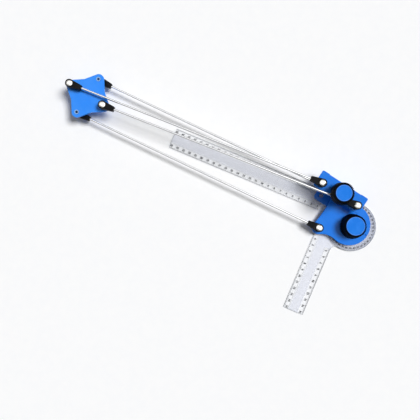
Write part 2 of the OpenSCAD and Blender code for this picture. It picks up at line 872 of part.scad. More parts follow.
module hub_stud() {
    color(steel) at_square() translate([0, 0, flange_z]) difference() {
        union() {
            cylinder(r = flange_r, h = flange_t);
            cylinder(d = stud_d, h = head_knob_z + head_insert_h - insert_room - flange_z);
        }
        at_hub_screws() bore(hub_screw_d / 2 + seat_clear, flange_t);
    }
}

module hub_screws() {
    color(steel) at_square() at_hub_screws() {
        translate([0, 0, flange_z]) cylinder(d = hub_screw_d, h = dial_top - play - flange_z);
        translate([0, 0, dial_top - hub_screw_head_h + seat_clear])
            cylinder(d = hub_screw_head_d, h = hub_screw_head_h - 2 * seat_clear);
    }
}

module thrust_washer() {
    color(nylon) at_hub() translate([0, 0, thrust_z])
        ring(thrust_r, stud_d / 2 + pin_clear, thrust_t);
}

clamp_bracket();
clamp_bush();
clamp_pivot_screws();
clamp_pivot_washers();
clamp_pivot_nuts();
pressure_pad();
clamp_screw();
clamp_knob();
clamp_knob_insert();
clamp_knob_cap();
clamp_rod_a();
clamp_rod_a_clamp_end();
clamp_rod_a_elbow_end();
clamp_rod_b();
clamp_rod_b_clamp_end();
clamp_rod_b_elbow_end();
elbow_plate();
elbow_screws();
elbow_nuts();
elbow_upper_spacers();
elbow_lower_spacers();
elbow_rivets();
head_rod_a();
head_rod_a_elbow_end();
head_rod_a_head_end();
head_rod_b();
head_rod_b_elbow_end();
head_rod_b_head_end();
head_plate();
head_skirt();
head_bush();
head_pivot_screws();
head_pivot_washers();
l_square();
protractor();
hub_stud();
hub_screws();
thrust_washer();
head_knob();
head_knob_insert();
head_knob_cap();
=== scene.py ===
from math import atan2, cos, radians, sin

import bmesh
import bpy
from mathutils import Euler, Matrix, Vector


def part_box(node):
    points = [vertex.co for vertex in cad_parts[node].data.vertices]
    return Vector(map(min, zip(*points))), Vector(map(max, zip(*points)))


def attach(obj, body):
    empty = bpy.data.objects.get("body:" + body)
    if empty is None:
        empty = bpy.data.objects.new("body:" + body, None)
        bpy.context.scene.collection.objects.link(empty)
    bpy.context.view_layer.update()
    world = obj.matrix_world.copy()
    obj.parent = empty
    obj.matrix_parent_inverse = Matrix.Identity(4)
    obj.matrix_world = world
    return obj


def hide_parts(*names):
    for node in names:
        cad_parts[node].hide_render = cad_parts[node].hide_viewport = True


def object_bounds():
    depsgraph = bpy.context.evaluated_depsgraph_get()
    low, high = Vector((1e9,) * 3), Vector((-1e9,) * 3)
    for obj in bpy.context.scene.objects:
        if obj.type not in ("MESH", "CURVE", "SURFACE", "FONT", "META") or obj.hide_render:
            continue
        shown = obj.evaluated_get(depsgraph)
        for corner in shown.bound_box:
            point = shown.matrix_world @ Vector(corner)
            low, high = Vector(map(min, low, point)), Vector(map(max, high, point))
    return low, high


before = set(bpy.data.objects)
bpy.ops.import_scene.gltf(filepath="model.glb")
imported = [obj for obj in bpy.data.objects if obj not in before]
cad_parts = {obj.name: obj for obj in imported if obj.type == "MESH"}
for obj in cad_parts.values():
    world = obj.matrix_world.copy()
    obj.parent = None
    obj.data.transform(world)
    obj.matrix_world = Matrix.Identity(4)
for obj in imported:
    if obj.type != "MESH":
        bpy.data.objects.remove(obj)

cad_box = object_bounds()

# The view: the folded machine lies on a pale table and is seen from 0.75 m above it, nearly straight
# down. The camera's place, angles and lens are those that fit its rods, pivots and blades best.
camera_at = (-0.1042, -0.1259, 0.7543)
camera_degrees = (1.98, 2.44, 33.50)
camera_lens, camera_sensor = 42.857, 36


def in_scene(name, data):
    """A new object that holds the data, linked into the scene at the origin."""
    thing = bpy.data.objects.new(name, data)
    bpy.context.scene.collection.objects.link(thing)
    return thing


camera = in_scene("camera", bpy.data.cameras.new("camera"))
camera.data.lens = camera_lens
camera.data.sensor_width = camera_sensor
camera.data.clip_start = 0.01
camera.location = camera_at
camera.rotation_euler = Euler([radians(angle) for angle in camera_degrees])
bpy.context.scene.camera = camera
bpy.context.scene.view_settings.view_transform = "Standard"

# The table: a plain matt white sheet just under the blades, which keeps the machine's soft shadow.
# It is mottled so faintly that nothing on it draws the eye.
table_size, table_drop = 6.0, 0.0002
# How far across the patches of the mottle are, in mm, as on real card.
mottle_size = 11


def linear(hex_colour):
    """An sRGB hex colour as the linear one that Blender's nodes take."""
    parts = [int(hex_colour[i:i + 2], 16) / 255 for i in (1, 3, 5)]
    return [c / 12.92 if c <= 0.04045 else ((c + 0.055) / 1.055) ** 2.4 for c in parts] + [1]


def add(tree, kind, values=None, links=None, **settings):
    """Adds a node: settings are its own fields, values fill its sockets, links feed them."""
    node = tree.nodes.new(kind)
    for name, value in settings.items():
        setattr(node, name, value)
    for name, value in (values or {}).items():
        node.inputs[name].default_value = value
    for name, source in (links or {}).items():
        tree.links.new(source, node.inputs[name])
    return node


def new_finish(name):
    """An empty material, its node tree, and the object coordinates that its patterns lie in."""
    finish = bpy.data.materials.new(name)
    finish.use_nodes = True
    tree = finish.node_tree
    tree.nodes.clear()
    return finish, tree, add(tree, "ShaderNodeTexCoord").outputs["Object"]


def per_mm(size):
    """Noise scale for features of that many millimetres."""
    return 1000 / size


table_mesh = bpy.data.meshes.new("table_top")
bm = bmesh.new()
bmesh.ops.create_grid(bm, x_segments=1, y_segments=1, size=table_size / 2)
bmesh.ops.translate(bm, verts=bm.verts, vec=(0, 0, cad_box[0].z - table_drop))
bm.to_mesh(table_mesh)
bm.free()
in_scene("table_top", table_mesh)

matt_sheet, tree, place = new_finish("matt_white_sheet")
mottle = add(tree, "ShaderNodeTexNoise", {"Scale": per_mm(mottle_size), "Detail": 2}, {"Vector": place})
tint = add(tree, "ShaderNodeMix", {"A": linear("#fafbfd"), "B": linear("#ffffff")},
           {"Factor": mottle.outputs["Fac"]}, data_type="RGBA")
sheet = add(tree, "ShaderNodeBsdfPrincipled", {"Roughness": 0.9, "Specular IOR Level": 0.1},
            {"Base Color": tint.outputs["Result"]})
add(tree, "ShaderNodeOutputMaterial", links={"Surface": sheet.outputs["BSDF"]})
table_mesh.materials.append(matt_sheet)

# The light: soft daylight from high up to the picture's right, in a white room whose ceiling is bright
# in a strip along the rods and dark beside it, so that they show as bright lines with dark edges. Metal
# mirrors a pale window in the lamp's place, so that its glints don't clip.
sun_tilt, sun_heading = radians(30), radians(50)
sun_width, sun_strength = radians(22), 2.85
# How much of the room's light falls on the machine. What mirrors the room sees all of it.
room_level = 0.26
# Seen along the rods, the strip's middle leans a little to one side, and the strip starts and is full
# at the angles from it that have these cosines. It fades out between two heights over the horizon.
strip_lean = 0.2
strip_start, strip_full = 0.66, 0.84
strip_dark, strip_bright = 0.01, 1.2
strip_foot, strip_head = 0.25, 0.6
window_edge, window_core = radians(32), radians(14)
window_bright = 1.2


def rod_heading(node):
    """A level rod's angle to X, which its box gives."""
    low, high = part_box(node)
    return atan2(high.y - low.y, high.x - low.x)


toward_sun = Vector((sin(sun_tilt) * cos(sun_heading), sin(sun_tilt) * sin(sun_heading), cos(sun_tilt)))
daylight = bpy.data.lights.new("daylight", "SUN")
daylight.angle = sun_width
daylight.energy = sun_strength
lamp = in_scene("daylight", daylight)
lamp.rotation_euler = (-toward_sun).to_track_quat("-Z", "Y").to_euler()
lamp.visible_glossy = False

room = bpy.data.worlds.new("white_room")
bpy.context.scene.world = room
room.use_nodes = True
tree = room.node_tree
tree.nodes.clear()
toward = add(tree, "ShaderNodeTexCoord").outputs["Generated"]
up = add(tree, "ShaderNodeSeparateXYZ", links={0: toward}).outputs["Z"]
heading = rod_heading("clamp_rod_a")
aside = add(tree, "ShaderNodeVectorMath", {1: (-sin(heading), cos(heading), 0)}, {0: toward},
            operation="DOT_PRODUCT")
section = add(tree, "ShaderNodeCombineXYZ", links={"X": aside.outputs["Value"], "Y": up})
section = add(tree, "ShaderNodeVectorMath", links={0: section.outputs[0]}, operation="NORMALIZE")
middle = add(tree, "ShaderNodeVectorMath", {1: (strip_lean, 1, 0)}, {0: section.outputs[0]},
             operation="DOT_PRODUCT")
strip = add(tree, "ShaderNodeMapRange", {"From Min": strip_start, "From Max": strip_full,
                                         "To Min": strip_dark, "To Max": strip_bright},
            {"Value": middle.outputs["Value"]}, interpolation_type="SMOOTHSTEP")
above = add(tree, "ShaderNodeMapRange", {"From Min": strip_foot, "From Max": strip_head}, {"Value": up},
            interpolation_type="SMOOTHSTEP")
ceiling = add(tree, "ShaderNodeMath", links={0: strip.outputs[0], 1: above.outputs[0]},
              operation="MULTIPLY")
window = add(tree, "ShaderNodeVectorMath", {1: toward_sun}, {0: toward}, operation="DOT_PRODUCT")
pane = add(tree, "ShaderNodeMapRange", {"From Min": cos(window_edge), "From Max": cos(window_core),
                                        "To Max": window_bright},
           {"Value": window.outputs["Value"]}, interpolation_type="SMOOTHSTEP")
ray = add(tree, "ShaderNodeLightPath").outputs
mirrored = add(tree, "ShaderNodeMath", links={0: pane.outputs[0], 1: ray["Is Glossy Ray"],
                                              2: ceiling.outputs[0]}, operation="MULTIPLY_ADD")
backdrop = add(tree, "ShaderNodeMath", links={0: mirrored.outputs[0], 1: ray["Is Camera Ray"]},
               operation="MAXIMUM")
backdrop = add(tree, "ShaderNodeMath", links={0: backdrop.outputs[0], 1: ray["Is Transmission Ray"]},
               operation="MAXIMUM")
seen = add(tree, "ShaderNodeMath", links={0: ray["Is Camera Ray"], 1: ray["Is Glossy Ray"]},
           operation="MAXIMUM")
seen = add(tree, "ShaderNodeMath", links={0: seen.outputs[0], 1: ray["Is Transmission Ray"]},
           operation="MAXIMUM")
level = add(tree, "ShaderNodeMix", {"A": room_level, "B": 1.0}, {"Factor": seen.outputs[0]},
            data_type="FLOAT")
strength = add(tree, "ShaderNodeMath", links={0: level.outputs["Result"], 1: backdrop.outputs[0]},
               operation="MULTIPLY")
sky = add(tree, "ShaderNodeBackground", {"Color": linear("#ffffff")}, {"Strength": strength.outputs[0]})
add(tree, "ShaderNodeOutputWorld", links={"Surface": sky.outputs["Background"]})

# The clamp's bracket: 2 mm steel sheet, blanked and bent twice to a lower jaw, a back wall and a
# wider top plate, then stove enamelled blue. The enamel rounds its blanked edges a little.
weld_gap, flat_angle = 1e-6, radians(0.5)
# Cosines between a surface and the same surface smoothed: on a flat face, and right at an edge.
flat_match, edge_match = 0.995, 0.80
# The enamel's drift in colour, its orange peel and the marks of handling, in mm, each at real size.
drift_size, peel_size, handling_size = 26, 1.4, 5
# Half the wall's width and where its ears leave the bend, in metres, to within a tenth of a mm.
wall_half, wall_gap = 0.027, 0.0001
bend_start, bend_end, bend_foot = 0.0135, 0.0177, 0.0195


def nowhere(at):
    """For a piece whose outer edges all have room for their rounding."""
    return False


def beside_bend(at):
    """Where an ear of the bracket leaves the bend beside it."""
    at_side = abs(abs(at.x) - wall_half) < wall_gap
    return at_side and bend_start < at.y < bend_end and at.z > bend_foot


def softened(node, body, finish, width, angle=28, segments=2, crisp=nowhere):
    """Puts a finished copy of a CAD node in its place, its outer edges rounded to a width in mm.

    The node's loose triangles are first welded and joined to flat faces. An edge that turns by less
    than the angle, in degrees, only shades smooth. One with an end where crisp is true keeps its
    corner, because it has no room there. A width of 0 rounds nothing.
    """
    bm = bmesh.new()
    bm.from_mesh(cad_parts[node].data)
    bmesh.ops.remove_doubles(bm, verts=bm.verts, dist=weld_gap)
    if width:
        bmesh.ops.dissolve_limit(bm, angle_limit=flat_angle, verts=bm.verts, edges=bm.edges)
    for face in bm.faces:
        face.smooth = True
    weight = bm.edges.layers.float.new("bevel_weight_edge")
    for edge in bm.edges:
        edge.smooth = edge.is_manifold and edge.calc_face_angle(0) < radians(angle)
        tight = any(crisp(vert.co) for vert in edge.verts)
        edge[weight] = 1.0 if edge.is_convex and not edge.smooth and not tight else 0.0
    mesh = bpy.data.meshes.new(node + "_finished")
    bm.to_mesh(mesh)
    bm.free()
    mesh.materials.append(finish)
    piece = in_scene(node + "_finished", mesh)
    if width:
        bevel = piece.modifiers.new("rounded_edges", "BEVEL")
        bevel.width = width / 1000
        bevel.segments = segments
        bevel.limit_method = "WEIGHT"
        bevel.loop_slide = False
        bevel.use_clamp_overlap = False
        bevel.harden_normals = True
    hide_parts(node)
    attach(piece, body)


def near_edge(tree, reach, most):
    """How near a point is to a sharp edge, 0 to most, within a reach in millimetres."""
    rounded = add(tree, "ShaderNodeBevel", {"Radius": reach / 1000}, samples=4)
    flat = add(tree, "ShaderNodeNewGeometry")
    match = add(tree, "ShaderNodeVectorMath", links={0: rounded.outputs[0], 1: flat.outputs["Normal"]},
                operation="DOT_PRODUCT")
    return add(tree, "ShaderNodeMapRange",
               {"From Min": flat_match, "From Max": edge_match, "To Max": most},
               {"Value": match.outputs["Value"]}).outputs[0]


def stove_enamel(name, hex_colour, drift_and_highlight_hex):
    """Enamel, sprayed and baked: a deep even colour under a soft gloss, which faint orange peel and
    handling break up, with a painted highlight that turns the colour paler along its edges."""
    finish, tree, place = new_finish(name)
    drift = add(tree, "ShaderNodeTexNoise", {"Scale": per_mm(drift_size), "Detail": 2, "Roughness": 0.5},
                {"Vector": place})
    shade = add(tree, "ShaderNodeMapRange", {"From Min": 0.35, "From Max": 0.65, "To Max": 0.22},
                {"Value": drift.outputs["Fac"]})
    body = add(tree, "ShaderNodeMix", {"A": linear(hex_colour), "B": linear(drift_and_highlight_hex)},
               {"Factor": shade.outputs[0]}, data_type="RGBA")
    # Painted highlight: near its edges the colour turns paler, as if they caught the light.
    edge_highlight = add(tree, "ShaderNodeMix", {"B": linear(drift_and_highlight_hex)},
               {"Factor": near_edge(tree, reach=0.6, most=0.75), "A": body.outputs["Result"]},
               data_type="RGBA")
    handled = add(tree, "ShaderNodeTexNoise",
                  {"Scale": per_mm(handling_size), "Detail": 6, "Roughness": 0.65}, {"Vector": place})
    gloss = add(tree, "ShaderNodeMapRange",
                {"From Min": 0.3, "From Max": 0.7, "To Min": 0.26, "To Max": 0.40},
                {"Value": handled.outputs["Fac"]})
    peel = add(tree, "ShaderNodeTexNoise", {"Scale": per_mm(peel_size), "Detail": 1, "Roughness": 0.4},
               {"Vector": place})
    bump = add(tree, "ShaderNodeBump", {"Strength": 0.12, "Distance": 0.0001},
               {"Height": peel.outputs["Fac"]})
    enamel = add(tree, "ShaderNodeBsdfPrincipled",
                 {"IOR": 1.5, "Specular IOR Level": 0.22, "Coat Weight": 0.1, "Coat Roughness": 0.12},
                 {"Base Color": edge_highlight.outputs["Result"], "Roughness": gloss.outputs[0],
                  "Normal": bump.outputs["Normal"]})
    add(tree, "ShaderNodeOutputMaterial", links={"Surface": enamel.outputs["BSDF"]})
    return finish


clamp_enamel = stove_enamel("stove_enamel_clamp", "#1275e1", "#3490f2")
softened("clamp_bracket", "clamp", clamp_enamel, width=0.35, crisp=beside_bend)

# The bush of the clamp screw, the washers and nuts of the clamp's pivots, the clamp screw and its
# pad: turned or stamped steel, bright zinc plated. The bush is riveted to the top plate, and the pad
# swivels on the screw's tip.
cloud_size = 4  # mm, as on a real plate


def plated(name, hex_colour, cloud_hex, smooth, rough, grain):
    """A bare or thinly plated metal: it mirrors softly, cloudy in colour and gloss, with fine marks
    of its turning. The grain is in millimetres and coarser than the real 0.1, so that it shows."""
    finish, tree, place = new_finish(name)
    cloud = add(tree, "ShaderNodeTexNoise", {"Scale": per_mm(cloud_size), "Detail": 3},
                {"Vector": place})
    colour = add(tree, "ShaderNodeMix", {"A": linear(hex_colour), "B": linear(cloud_hex)},
                 {"Factor": cloud.outputs["Fac"]}, data_type="RGBA")
    fine = add(tree, "ShaderNodeTexNoise", {"Scale": per_mm(grain), "Detail": 4, "Roughness": 0.6},
               {"Vector": place})
    gloss = add(tree, "ShaderNodeMapRange",
                {"From Min": 0.3, "From Max": 0.7, "To Min": smooth, "To Max": rough},
                {"Value": fine.outputs["Fac"]})
    bump = add(tree, "ShaderNodeBump", {"Strength": 0.05, "Distance": 0.00005},
               {"Height": fine.outputs["Fac"]})
    metal = add(tree, "ShaderNodeBsdfPrincipled", {"Metallic": 1.0},
                {"Base Color": colour.outputs["Result"], "Roughness": gloss.outputs[0],
                 "Normal": bump.outputs["Normal"]})
    add(tree, "ShaderNodeOutputMaterial", links={"Surface": metal.outputs["BSDF"]})
    return finish


zinc_plate = plated("bright_zinc_plate", "#c3c8ce", "#aab0b8", smooth=0.24, rough=0.40, grain=0.6)
for node, body, width in (("clamp_bush", "clamp", 0.3), ("clamp_pivot_washers", "clamp", 0.1),
                          ("clamp_pivot_nuts", "clamp", 0.2), ("pressure_pad", "pressure_pad", 0.15),
                          ("clamp_screw", "clamp_screw", 0.15)):
    softened(node, body, zinc_plate, width)

# The domed pivot screws at the clamp and the elbow: cold-headed steel with a cross recess and a
# satin nickel plate, which spreads the ceiling's light over the dome and looks nearly white.
nickel_plate = plated("satin_nickel_plate", "#fffdf8", "#f6f4ee", smooth=0.26, rough=0.36, grain=0.5)
for node, body in (("clamp_pivot_screws", "clamp"), ("elbow_screws", "elbow")):
    softened(node, body, nickel_plate, width=0)

# The four rods: 3.2 mm steel, bright drawn and polished lengthwise, pressed into the rod ends. They
# mirror the room in long clean lines, which fine drawing lines along the rod blur a little.
upper_rods = ("clamp_rod_a", "clamp_rod_b")
lower_rods = ("head_rod_a", "head_rod_b")
# Real drawing lines are about 0.05 mm apart. These are coarser, so that they show.
line_pitch, line_stretch = 0.35, 60
tarnish_size = 30  # mm, as on real rods


def drawn_steel(name, along):
    """Polished drawn steel, a clean mirror whose fine lines run at that angle to X."""
    finish, tree, place = new_finish(name)
    tarnish = add(tree, "ShaderNodeTexNoise", {"Scale": per_mm(tarnish_size), "Detail": 2},
                  {"Vector": place})
    colour = add(tree, "ShaderNodeMix", {"A": linear("#fbfbfb"), "B": linear("#eceef1")},
                 {"Factor": tarnish.outputs["Fac"]}, data_type="RGBA")
    turned = add(tree, "ShaderNodeMapping", {"Rotation": (0, 0, -along)}, {"Vector": place})
    drawn = add(tree, "ShaderNodeMapping", {"Scale": (1 / line_stretch, 1, 1)},
                {"Vector": turned.outputs[0]})
    lines = add(tree, "ShaderNodeTexNoise", {"Scale": per_mm(line_pitch), "Detail": 3, "Roughness": 0.6},
                {"Vector": drawn.outputs[0]})
    gloss = add(tree, "ShaderNodeMapRange",
                {"From Min": 0.3, "From Max": 0.7, "To Min": 0.05, "To Max": 0.10},
                {"Value": lines.outputs["Fac"]})
    bump = add(tree, "ShaderNodeBump", {"Strength": 0.08, "Distance": 0.00005},
               {"Height": lines.outputs["Fac"]})
    steel = add(tree, "ShaderNodeBsdfPrincipled", {"Metallic": 1.0},
                {"Base Color": colour.outputs["Result"], "Roughness": gloss.outputs[0],
                 "Normal": bump.outputs["Normal"]})
    add(tree, "ShaderNodeOutputMaterial", links={"Surface": steel.outputs["BSDF"]})
    return finish


for pair in (upper_rods, lower_rods):
    polished = drawn_steel("drawn_steel_" + pair[0], rod_heading(pair[0]))
    for node in pair:
        softened(node, node, polished, width=0)

# The rod ends: black ABS, moulded with an eroded grain. Each is an eye with a tapered neck that takes
# the rod's end. The mould leaves their corners a little rounded.
grip_size = 9  # mm, about a fingertip's mark


def moulded_plastic(name, hex_colour, worn_hex, edge_highlight_hex, grain, smooth, rough, relief, sheen):
    """A moulded plastic: dull from its even grain, a little paler and shinier where it is handled, with a
    painted highlight that turns it paler at its edges. The grain is in mm and coarser than a real one of
    0.1 to 0.2, so that it shows."""
    finish, tree, place = new_finish(name)
    handled = add(tree, "ShaderNodeTexNoise", {"Scale": per_mm(grip_size), "Detail": 3},
                  {"Vector": place})
    rub = add(tree, "ShaderNodeMapRange", {"From Min": 0.45, "From Max": 0.7},
              {"Value": handled.outputs["Fac"]})
    colour = add(tree, "ShaderNodeMix", {"A": linear(hex_colour), "B": linear(worn_hex)},
                 {"Factor": rub.outputs[0]}, data_type="RGBA")
    # Painted highlight: near its edges the colour turns paler.
    colour = add(tree, "ShaderNodeMix", {"B": linear(edge_highlight_hex)},
                 {"Factor": near_edge(tree, reach=0.5, most=0.8), "A": colour.outputs["Result"]},
                 data_type="RGBA")
    gloss = add(tree, "ShaderNodeMapRange", {"To Min": rough, "To Max": smooth},
                {"Value": rub.outputs[0]})
    eroded = add(tree, "ShaderNodeTexNoise", {"Scale": per_mm(grain), "Detail": 3, "Roughness": 0.6},
                 {"Vector": place})
    bump = add(tree, "ShaderNodeBump", {"Strength": relief, "Distance": 0.00006},
               {"Height": eroded.outputs["Fac"]})
    plastic = add(tree, "ShaderNodeBsdfPrincipled", {"IOR": 1.53, "Specular IOR Level": sheen},
                  {"Base Color": colour.outputs["Result"], "Roughness": gloss.outputs[0],
                   "Normal": bump.outputs["Normal"]})
    add(tree, "ShaderNodeOutputMaterial", links={"Surface": plastic.outputs["BSDF"]})
    return finish


# The last of the three colours is a painted highlight along the rod ends' edges.
black_abs = moulded_plastic("moulded_abs_black", "#08080a", "#131316", "#1c1c20",
                            grain=0.45, smooth=0.38, rough=0.52, relief=0.35, sheen=0.12)
for rods, far in ((upper_rods, "clamp"), (lower_rods, "head")):
    for rod in rods:
        for end in ("elbow", far):
            softened(f"{rod}_{end}_end", rod, black_abs,
                     width=0.35, angle=24, segments=3)

# The elbow plate: 4 mm aluminium with four lobes, its sides dipping in between them. It is enamelled
# in the same blue, its colour painted a little lighter as painted light for the brighter light on it,
# and both pairs of rods turn on it.
lit_elbow_enamel = stove_enamel("stove_enamel_elbow", "#2e8cfa", "#5fabff")
softened("elbow_plate", "elbow", lit_elbow_enamel, width=0.5)

# What holds the rod ends at the elbow: nuts under the plate, two hollow rivets of bluish passivated
# zinc plate for the lower rods, and turned white nylon spacers, which keep them clear of the plate.
softened("elbow_nuts", "elbow", zinc_plate, width=0.2)
blue_zinc = plated("blue_passivated_zinc", "#8fb4de", "#7fa2cc", smooth=0.22, rough=0.36, grain=0.6)
softened("elbow_rivets", "elbow", blue_zinc, width=0)
# Real turning marks are about 0.2 mm apart. These are coarser, so that they show.
mark_pitch = 0.8


def turned_nylon(name, hex_colour):
    """Natural nylon: waxy and slightly translucent, so its edges glow softly, with turning marks."""
    finish, tree, place = new_finish(name)
    marks = add(tree, "ShaderNodeTexNoise", {"Scale": per_mm(mark_pitch), "Detail": 3},
                {"Vector": place})
    gloss = add(tree, "ShaderNodeMapRange", {"To Min": 0.42, "To Max": 0.56},
                {"Value": marks.outputs["Fac"]})
    bump = add(tree, "ShaderNodeBump", {"Strength": 0.15, "Distance": 0.00005},
               {"Height": marks.outputs["Fac"]})
    wax = add(tree, "ShaderNodeBsdfPrincipled",
              {"Base Color": linear(hex_colour), "IOR": 1.53, "Subsurface Weight": 0.2,
               "Subsurface Scale": 0.001},
              {"Roughness": gloss.outputs[0], "Normal": bump.outputs["Normal"]})
    add(tree, "ShaderNodeOutputMaterial", links={"Surface": wax.outputs["BSDF"]})
    return finish


natural_nylon = turned_nylon("turned_nylon_natural", "#ecebe4")
for node in ("elbow_upper_spacers", "elbow_lower_spacers"):
    softened(node, "elbow", natural_nylon, width=0.2)

# The head plate and its skirt: one casting, hollow below, enamelled blue. The rim of its top is well
# rounded. Its two nodes meet in a seam, which stays sharp so that it doesn't show.
head_enamel = stove_enamel("stove_enamel_head", "#1276e4", "#3490f2")
plate_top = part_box("head_plate")[1].z
skirt_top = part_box("head_skirt")[1].z
# A point within this height of a face, in metres, lies on it.
face_gap = 0.00001


def below_top(at):
    """Anywhere on the head plate under its top face."""
    return at.z < plate_top - face_gap


def at_seam(at):
    """The skirt's upper edge, where the plate sits on it."""
    return at.z > skirt_top - face_gap


softened("head_plate", "head", head_enamel, width=0.7, segments=3, crisp=below_top)
softened("head_skirt", "head", head_enamel, width=0.3, crisp=at_seam)

# The head's pivot screws, nickel plated like the others and screwed into the casting, zinc-plated
# washers under its rod ends, and the turned brass bush pressed into it, in which the hub turns.
softened("head_pivot_screws", "head", nickel_plate, width=0)
softened("head_pivot_washers", "head", zinc_plate, width=0.1)
turned_brass = plated("turned_brass", "#c9a45f", "#b48f4c", smooth=0.22, rough=0.36, grain=0.5)
softened("head_bush", "head", turned_brass, width=0.2)

# The square: 2.2 mm clear cast acrylic, cut to an L with a round hub, its four measuring edges
# planed to a bevel. Its upper face looks faintly milky and the bevels clearer. A painted highlight
# runs where each bevel starts, and the cut edges are painted grey as painted shade.
haze_size = 14  # mm, as on a real rubbed sheet
# Real scratches are about 0.05 mm wide. These are coarser, so that they show.
scratch_size, scratch_stretch, scratch_turn = 0.8, 40, 0.5
# Heights over the upper face, in metres, between which a point comes to count as part of that face,
# and as part of the crest where a bevel starts, along which a painted highlight runs.
face_from, face_full = -0.00003, -0.00001
crest_from, crest_full = -0.00011, -0.00004
# The normal's upward part on a level surface, and on one that counts as a cut edge.
level_up, edge_up = 0.95, 0.7
# How opaque each part of the sheet looks.
bevel_cover, crest_highlight_cover, face_cover, edge_shade_cover = 0.07, 0.8, 0.27, 0.75


def clear_sheet(name, face_height):
    """Cast acrylic, scratched by use: a glossy sheet with a milky upper face, clearer bevels and
    underside, a painted highlight in a bright line where a bevel starts, and cut edges painted grey as
    painted shade."""
    finish, tree, place = new_finish(name)
    height = add(tree, "ShaderNodeSeparateXYZ", links={0: place}).outputs["Z"]
    depth = add(tree, "ShaderNodeMath", {1: face_height}, {0: height}, operation="SUBTRACT")
    face = add(tree, "ShaderNodeMapRange", {"From Min": face_from, "From Max": face_full},
               {"Value": depth.outputs[0]})
    crest = add(tree, "ShaderNodeMapRange", {"From Min": crest_from, "From Max": crest_full},
                {"Value": depth.outputs[0]})
    normal = add(tree, "ShaderNodeNewGeometry").outputs["Normal"]
    upright = add(tree, "ShaderNodeSeparateXYZ", links={0: normal}).outputs["Z"]
    upright = add(tree, "ShaderNodeMath", links={0: upright}, operation="ABSOLUTE")
    side = add(tree, "ShaderNodeMapRange", {"From Min": level_up, "From Max": edge_up},
               {"Value": upright.outputs[0]})
    # Nearly white on the crest is a painted highlight. The grey on the cut edges is painted shade.
    colour = add(tree, "ShaderNodeMix", {"A": linear("#eef2fb"), "B": linear("#fbfcff")},
                 {"Factor": crest.outputs[0]}, data_type="RGBA")
    colour = add(tree, "ShaderNodeMix", {"B": linear("#dadff1")},
                 {"Factor": face.outputs[0], "A": colour.outputs["Result"]}, data_type="RGBA")
    colour = add(tree, "ShaderNodeMix", {"B": linear("#7e8a97")},
                 {"Factor": side.outputs[0], "A": colour.outputs["Result"]}, data_type="RGBA")
    cover = add(tree, "ShaderNodeMix", {"A": bevel_cover, "B": crest_highlight_cover},
                {"Factor": crest.outputs[0]}, data_type="FLOAT")
    cover = add(tree, "ShaderNodeMix", {"B": face_cover},
                {"Factor": face.outputs[0], "A": cover.outputs["Result"]}, data_type="FLOAT")
    cover = add(tree, "ShaderNodeMix", {"B": edge_shade_cover},
                {"Factor": side.outputs[0], "A": cover.outputs["Result"]}, data_type="FLOAT")
    haze = add(tree, "ShaderNodeTexNoise", {"Scale": per_mm(haze_size), "Detail": 4, "Roughness": 0.6},
               {"Vector": place})
    uneven = add(tree, "ShaderNodeMapRange", {"To Min": 0.85, "To Max": 1.15},
                 {"Value": haze.outputs["Fac"]})
    dense = add(tree, "ShaderNodeMath", links={0: cover.outputs["Result"], 1: uneven.outputs[0]},
                operation="MULTIPLY")
    scratch = add(tree, "ShaderNodeMapping",
                  {"Scale": (1 / scratch_stretch, 1, 1), "Rotation": (0, 0, scratch_turn)},
                  {"Vector": place})
    scratches = add(tree, "ShaderNodeTexNoise", {"Scale": per_mm(scratch_size), "Detail": 2},
                    {"Vector": scratch.outputs[0]})
    gloss = add(tree, "ShaderNodeMapRange",
                {"From Min": 0.35, "From Max": 0.7, "To Min": 0.05, "To Max": 0.14},
                {"Value": scratches.outputs["Fac"]})
    acrylic = add(tree, "ShaderNodeBsdfPrincipled", {"IOR": 1.49},
                  {"Base Color": colour.outputs["Result"], "Alpha": dense.outputs[0],
                   "Roughness": gloss.outputs[0]})
    add(tree, "ShaderNodeOutputMaterial", links={"Surface": acrylic.outputs["BSDF"]})
    return finish


square_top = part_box("l_square")[1].z
cast_acrylic = clear_sheet("cast_acrylic_square", square_top)
softened("l_square", "square", cast_acrylic, width=0.12, angle=20)

# The blades' scales: black ink printed on the bevels, a line each millimetre, longer at 5 and 10, and
# a numeral each centimetre. Real lines are about 0.15 mm wide. These are wider, so that they show.
ink_t, ink_w = 0.03, 0.28
line_len, line_inset = {1: 1.3, 5: 1.8, 10: 2.3}, 0.3
figure_size, figure_inset, figure_past = 4.0, 4.7, 1.4
# How much a numeral's strokes are thickened, as a share of its size.
figure_swell = 0.035
# The first millimetre that has a line: past the inner corner, and past the hub's fillet.
corner_end, fillet_end = 9, 48
smudge_size = 0.7  # mm, as in real ink
# The blades' sizes and inner corner, in mm from the hub's middle, before the square is turned to its
# angle in the folded machine.
long_blade, short_blade, blade_w = 254, 154, 31.3
blade_t, edge_t, bevel_w = 2.2, 0.9, 8.7
inner_x, inner_y = -46.0, 3.4
square_turn = radians(10.4)
slope = atan2(blade_t - edge_t, bevel_w)
edge_height = square_top * 1000 - blade_t + edge_t
hub_low, hub_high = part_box("head_knob")
hub = (hub_low + hub_high) / 2
square_place = (Matrix.Translation((hub.x, hub.y, 0))
                @ Matrix.Rotation(square_turn, 4, "Z") @ Matrix.Scale(0.001, 4))

# Printing ink looks matt and nearly black, a little uneven where it took less well.
ink, tree, place = new_finish("printed_ink_black")
smudge = add(tree, "ShaderNodeTexNoise", {"Scale": per_mm(smudge_size), "Detail": 2}, {"Vector": place})
tone = add(tree, "ShaderNodeMix", {"A": linear("#0b0c10"), "B": linear("#1b1d24")},
           {"Factor": smudge.outputs["Fac"]}, data_type="RGBA")
film = add(tree, "ShaderNodeBsdfPrincipled", {"Roughness": 0.55, "IOR": 1.5},
           {"Base Color": tone.outputs["Result"]})
add(tree, "ShaderNodeOutputMaterial", links={"Surface": film.outputs["BSDF"]})


